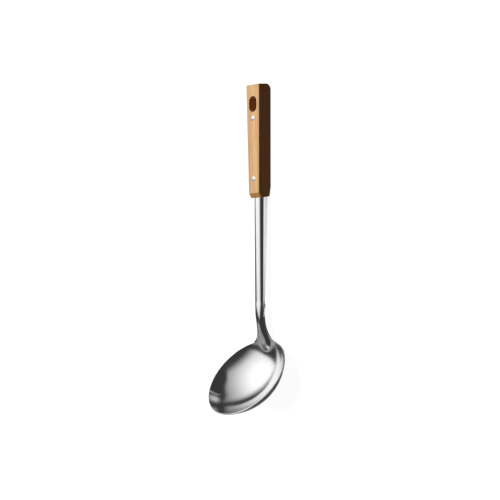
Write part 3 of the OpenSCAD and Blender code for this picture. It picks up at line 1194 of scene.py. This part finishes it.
@dataclass
class Rivet:
    """A rivet through the handle: low dome on the front, flush head on the back.

    Args:
        frame: Turns millimetres into the row frame's metres.
        finish: The rivet's steel.
        part: The CAD node that it stands for.
        x: Place along the ladle, in millimetres.
        rim_rings: How far inside the back's rim the rings before it lie.
        dome_end: Share of the dome's span where its last ring lies.

    The other fields are sizes in millimetres and counts of rings and places round.
    """

    frame: Frame
    finish: bpy.types.Material
    part: Part
    x: float
    thick: float = 17.1
    shank: float = 2.0
    head: float = 2.7
    sink: float = 0.8
    dome: float = 0.45
    recess: float = 0.02
    rim_rings: tuple[float, float] = (0.25, 0.06)
    rim_rise: float = 0.05
    lip: float = 0.02
    tip: float = 0.03
    dome_end: float = 0.03
    dome_rings: int = 14
    turns: int = 72

    def build(self) -> bpy.types.Object:
        """Turns the rivet's half profile round its axis; the dome is a cap of a sphere.

        Returns:
            The finished piece.
        """
        sphere = (self.head**2 + self.dome**2) / (2 * self.dome)
        span = math.asin(self.head / sphere)
        a = np.linspace(span, self.dome_end * span, self.dome_rings)
        dome = np.stack([sphere * np.sin(a), self.thick + self.dome - sphere * (1 - np.cos(a))], 1)
        back_head = blend(self.head, self.shank, self.recess / self.sink)
        profile = np.concatenate(
            [
                [[self.tip, self.recess]],
                [[back_head - inset, self.recess] for inset in self.rim_rings],
                [[back_head, self.recess + self.rim_rise]],
                [[self.shank, self.sink], [self.shank, self.thick - self.sink]],
                [[self.head, self.thick - self.lip]],
                dome,
            ]
        )
        turn = np.linspace(0, 2 * np.pi, self.turns + 1)[:-1]
        r, z = profile[:, 0, None], profile[:, 1, None]
        points = np.stack([self.x + r * np.cos(turn), r * np.sin(turn), z + 0 * turn], -1)
        ids = np.arange(points.shape[0] * self.turns).reshape(points.shape[:2])
        obj = make_mesh(
            f"{self.part.value}_head",
            self.frame.place(points.reshape(-1, 3)),
            [tube(ids), ids[0][::-1][None], ids[-1][None]],
            self.finish,
        )
        return stand_for(obj, self.part)


@dataclass(frozen=True)
class Panel:
    """A soft-edged bright panel on the studio's dome.

    Directions are laid out flat round the zenith: east is the distance from the zenith in
    degrees times the cosine of the bearing, north the same times its sine.
    Args:
        level: Brightness at the panel's brightest place.
        edges: Straight edges (facing, place, softness) in degrees: the panel lies where
            the distance along the facing direction is more than the place.
        glow: Middle and reach of the bright place, where the panel isn't even.
    """

    level: float
    edges: tuple[tuple[float, float, float], ...]
    glow: tuple[float, float, float, float] | None = None

    def shine(self, east: np.ndarray, north: np.ndarray) -> np.ndarray:
        """Brightness of the panel in each direction.

        Args:
            east: First coordinate of the directions.
            north: Second coordinate of the directions.

        Returns:
            Brightness, fading as exp(-d^2) from the bright place and smoothly over each edge.
        """
        value = np.full(east.shape, self.level)
        if self.glow is not None:
            middle_e, middle_n, reach_e, reach_n = self.glow
            value *= np.exp(-(((east - middle_e) / reach_e) ** 2) - ((north - middle_n) / reach_n) ** 2)
        for facing, place, softness in self.edges:
            along = east * math.cos(math.radians(facing)) + north * math.sin(math.radians(facing))
            value *= ease((along - place) / softness + 0.5)
        return value


@dataclass(frozen=True)
class Studio:
    """Pale floor, soft lights and the panels that the polished steel mirrors."""

    radius: float = 4.0
    dome_step: float = 1.5
    dome_top: float = 89.5
    dome_rows: int = 180
    floor_half: float = 12.0
    floor_drop: float = 0.0002
    floor_grey: float = 0.18
    floor_glow: float = 0.94
    world_level: float = 0.04
    ambient: float = 0.042
    panels: tuple[Panel, ...] = (
        # The large softbox
        Panel(
            1.39,
            (
                (42, -3, 24),
                (-13, -15.6, 8),
                (112, -48.6, 10),
                (146, -74, 12),
                (-122, -75, 24),
                (-20, -18, 9),
            ),
            (30.5, 40, 55, 70),
        ),
        # The cards: a side one, a small one and a low one
        Panel(0.39, ((180, 15, 10), (27, -16, 30), (106, 34, 6), (-103, -108, 6))),
        Panel(0.3, ((180, 20, 4), (0, -90, 7), (100, 18, 20), (-85, -45, 20))),
        Panel(0.65, ((-18, 97, 9), (66, -34, 9)), (110, 1, 8.5, 22)),
        # The windows at the back, in front and on the far side
        Panel(0.9, ((180, 62, 12), (90, -50, 18), (-90, -35, 18), (0, -104, 16))),
        Panel(0.75, ((-90, 70, 12), (90, -104, 14), (0, 26, 12), (180, -84, 14))),
        Panel(0.75, ((-90, 62, 12), (90, -104, 14), (180, 24, 12), (0, -78, 14))),
        # The pale tables: near, west, south, east and north
        Panel(1.0, ((-111, 74.5, 15), (0, -1.6, 15), (174, -26.5, 5))),
        Panel(0.8, ((180, 114, 16), (-90, -55, 16))),
        Panel(0.8, ((-90, 124, 16),)),
        Panel(0.8, ((0, 134, 16),)),
        Panel(0.8, ((45, 132, 16),)),
    )

    def dome(self) -> None:
        """Builds the dome: a sphere round the scene whose colour holds the panels' brightness."""
        bearing = np.radians(np.arange(-180.0, 180.0, self.dome_step))
        height = np.radians(np.linspace(-self.dome_top, self.dome_top, self.dome_rows))
        bb, hh = np.meshgrid(bearing, height, indexing="ij")
        points = self.radius * np.stack(
            [np.cos(hh) * np.cos(bb), np.cos(hh) * np.sin(bb), np.sin(hh)], -1
        )
        ids = np.arange(bb.size).reshape(bb.shape)
        nxt = np.roll(ids, -1, 0)
        quads = np.stack([ids[:, :-1], ids[:, 1:], nxt[:, 1:], nxt[:, :-1]], -1).reshape(-1, 4)
        from_zenith = 90.0 - np.degrees(hh)
        east, north = from_zenith * np.cos(bb), from_zenith * np.sin(bb)
        shine = np.full(bb.shape, self.ambient)
        for panel in self.panels:
            shine = np.maximum(shine, panel.shine(east, north))
        n = Nodes("studio_panels")
        seen = n.add("ShaderNodeAttribute", attribute_name="shine")
        glow = n.put("ShaderNodeEmission", Color=(1, 1, 1, 1), Strength=seen.outputs["Fac"])
        material = n.surface(glow.outputs["Emission"])
        obj = make_mesh("studio_dome", points.reshape(-1, 3), [quads], material)
        paint(obj, "shine", shine)
        obj.visible_camera = False
        obj.visible_diffuse = False
        obj.visible_shadow = False

    def floor(self) -> None:
        """Builds the pale floor, which the steel doesn't mirror and which lights nothing."""
        n = Nodes("pale_floor")
        grey = self.floor_grey
        matt = n.put("ShaderNodeBsdfDiffuse", Color=(grey, grey, grey, 1))
        glow = n.put("ShaderNodeEmission", Color=(1, 1, 1, 1), Strength=self.floor_glow)
        both = n.add("ShaderNodeAddShader")
        n.tree.links.new(matt.outputs["BSDF"], both.inputs[0])
        n.tree.links.new(glow.outputs["Emission"], both.inputs[1])
        material = n.surface(both.outputs["Shader"])
        size, drop = self.floor_half, self.floor_drop
        points = np.array(
            [[-size, -size, -drop], [size, -size, -drop], [size, size, -drop], [-size, size, -drop]]
        )
        obj = make_mesh("floor", points, [np.array([[0, 1, 2, 3]])], material)
        obj.visible_glossy = False
        obj.visible_diffuse = False

    def lamp(
        self, name: str, bearing: float, height: float, distance: float, size: float, power: float
    ) -> None:
        """Adds a soft square lamp that shines on matt surfaces and isn't mirrored.

        Args:
            name: Name of the lamp.
            bearing: Direction from the ladle, in degrees from +x toward +y.
            height: Degrees above the floor.
            distance: Metres from the ladle.
            size: Side of the lamp, in metres.
            power: Watts.
        """
        data = bpy.data.lights.new(name, "AREA")
        data.shape = "SQUARE"
        data.size = size
        data.energy = power
        obj = bpy.data.objects.new(name, data)
        b, h = math.radians(bearing), math.radians(height)
        place = distance * Vector((math.cos(h) * math.cos(b), math.cos(h) * math.sin(b), math.sin(h)))
        obj.location = place
        obj.rotation_euler = place.to_track_quat("Z", "Y").to_euler()
        obj.visible_glossy = False
        obj.visible_camera = False
        bpy.context.scene.collection.objects.link(obj)

    def build(self) -> None:
        """Sets the world, the dome, the floor and the lamp."""
        world = bpy.data.worlds.new("studio")
        world.use_nodes = True
        sky = world.node_tree.nodes["Background"]
        sky.inputs["Color"].default_value = (1, 1, 1, 1)
        sky.inputs["Strength"].default_value = self.world_level
        bpy.context.scene.world = world
        self.dome()
        self.floor()
        self.lamp("key_lamp", bearing=50.0, height=70.0, distance=2.2, size=2.0, power=71.0)
        bpy.context.scene.view_settings.view_transform = "Standard"


@dataclass(frozen=True)
class PhotoCamera:
    """The camera at the photograph's viewing angle.

    Args:
        place: Where it stands, in millimetres in the row frame.
        right: Direction of the picture's right side.
        up: Direction of the picture's top.
        lens: Focal length in millimetres.
        sensor: Width of the sensor in millimetres.
        reach: Nearest and farthest distance that it sees, in metres.
    """

    place: Triple = (-79.1, -1152.4, 1115.2)
    right: Triple = (-0.0129, -0.6872, -0.7263)
    up: Triple = (0.99877, -0.04371, 0.02362)
    lens: float = 113.0
    sensor: float = 36.0
    reach: tuple[float, float] = (0.05, 60.0)

    def build(self) -> None:
        """Adds the camera and makes it the scene's own."""
        data = bpy.data.cameras.new("photo_camera")
        data.lens = self.lens
        data.sensor_width = self.sensor
        data.clip_start, data.clip_end = self.reach
        obj = bpy.data.objects.new("photo_camera", data)
        right = Vector(self.right).normalized()
        up = (Vector(self.up) - Vector(self.up).dot(right) * right).normalized()
        back = right.cross(up)
        turn = Matrix((right, up, back)).transposed()
        obj.rotation_mode = "QUATERNION"
        obj.rotation_quaternion = turn.to_quaternion()
        obj.location = Vector(self.place) / 1000.0
        bpy.context.scene.collection.objects.link(obj)
        bpy.context.scene.camera = obj


def report(obj: bpy.types.Object) -> None:
    """Writes a piece's name and size to the log."""
    LOG.info("%s: %d corners, %d faces", obj.name, len(obj.data.vertices), len(obj.data.polygons))


def main() -> None:
    """Builds the ladle, the studio and the camera."""
    logging.basicConfig(level=logging.INFO)
    place = Frame()
    steel = PolishedSteel().make()
    rivet_steel = PolishedSteel("rivet_steel", colour=(0.95, 0.95, 0.95), roughness=0.34).make()
    wood = LightWood().make()
    report(PressedSheet(place, steel).build())
    report(WoodHandle(place, wood).build())
    report(Rivet(place, rivet_steel, Part.UPPER_RIVET, x=299.5).build())
    report(Rivet(place, rivet_steel, Part.LOWER_RIVET, x=237.3).build())
    Studio().build()
    PhotoCamera().build()


if __name__ == "__main__":
    main()
